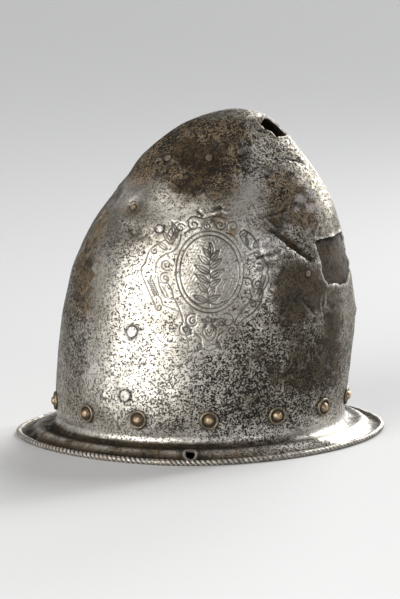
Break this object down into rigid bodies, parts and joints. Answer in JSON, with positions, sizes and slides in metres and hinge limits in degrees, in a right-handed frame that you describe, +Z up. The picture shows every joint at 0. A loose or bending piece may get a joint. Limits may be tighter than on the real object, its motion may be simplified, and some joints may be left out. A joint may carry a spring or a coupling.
{
  "type": "brimmed skull cap helmet",
  "caption": "Tall almond-shaped steel helmet with a narrow sloping brim, roped edge and brass lining rivets, old, dented and torn near the back.",
  "frame": {"origin": "middle of the plane that the turned edge of the brim rests on", "axes": "+Z up through the crown, -X towards the front of the helmet, -Y the side that shows"},
  "size_m": [0.3006, 0.2538, 0.2634],
  "materials": {
    "old_steel": "raised and polished steel, pitted and stained brown",
    "patch_steel": "dark worn steel",
    "steel_rivet": "hammered steel",
    "brass_rivet": "tarnished brass, rubbed bright on top",
    "washer_brass": "dark tarnished brass"
  },
  "bodies": {
    "root": {"skull": "old_steel", "tear_patch": "patch_steel", "lining_rivet_01": "brass_rivet", "lining_rivet_02": "brass_rivet", "lining_rivet_03": "brass_rivet", "lining_rivet_04": "brass_rivet", "lining_rivet_05": "brass_rivet", "lining_rivet_06": "brass_rivet", "lining_rivet_07": "brass_rivet", "lining_rivet_08": "brass_rivet", "lining_rivet_09": "brass_rivet", "lining_rivet_10": "brass_rivet", "lining_rivet_11": "brass_rivet", "lining_rivet_12": "brass_rivet", "lining_rivet_13": "brass_rivet", "rivet_washer_01": "washer_brass", "rivet_washer_02": "washer_brass", "rivet_washer_03": "washer_brass", "rivet_washer_04": "washer_brass", "rivet_washer_05": "washer_brass", "rivet_washer_06": "washer_brass", "rivet_washer_07": "washer_brass", "rivet_washer_08": "washer_brass", "rivet_washer_09": "washer_brass", "rivet_washer_10": "washer_brass", "rivet_washer_11": "washer_brass", "rivet_washer_12": "washer_brass", "rivet_washer_13": "washer_brass", "side_rivet_upper": "steel_rivet", "side_rivet_lower": "steel_rivet", "repair_rivet_01": "steel_rivet", "repair_rivet_02": "brass_rivet", "repair_rivet_03": "steel_rivet", "repair_rivet_04": "steel_rivet", "repair_rivet_05": "steel_rivet", "patch_rivet_near": "steel_rivet", "patch_rivet_far": "steel_rivet"}
  },
  "joints": []
}
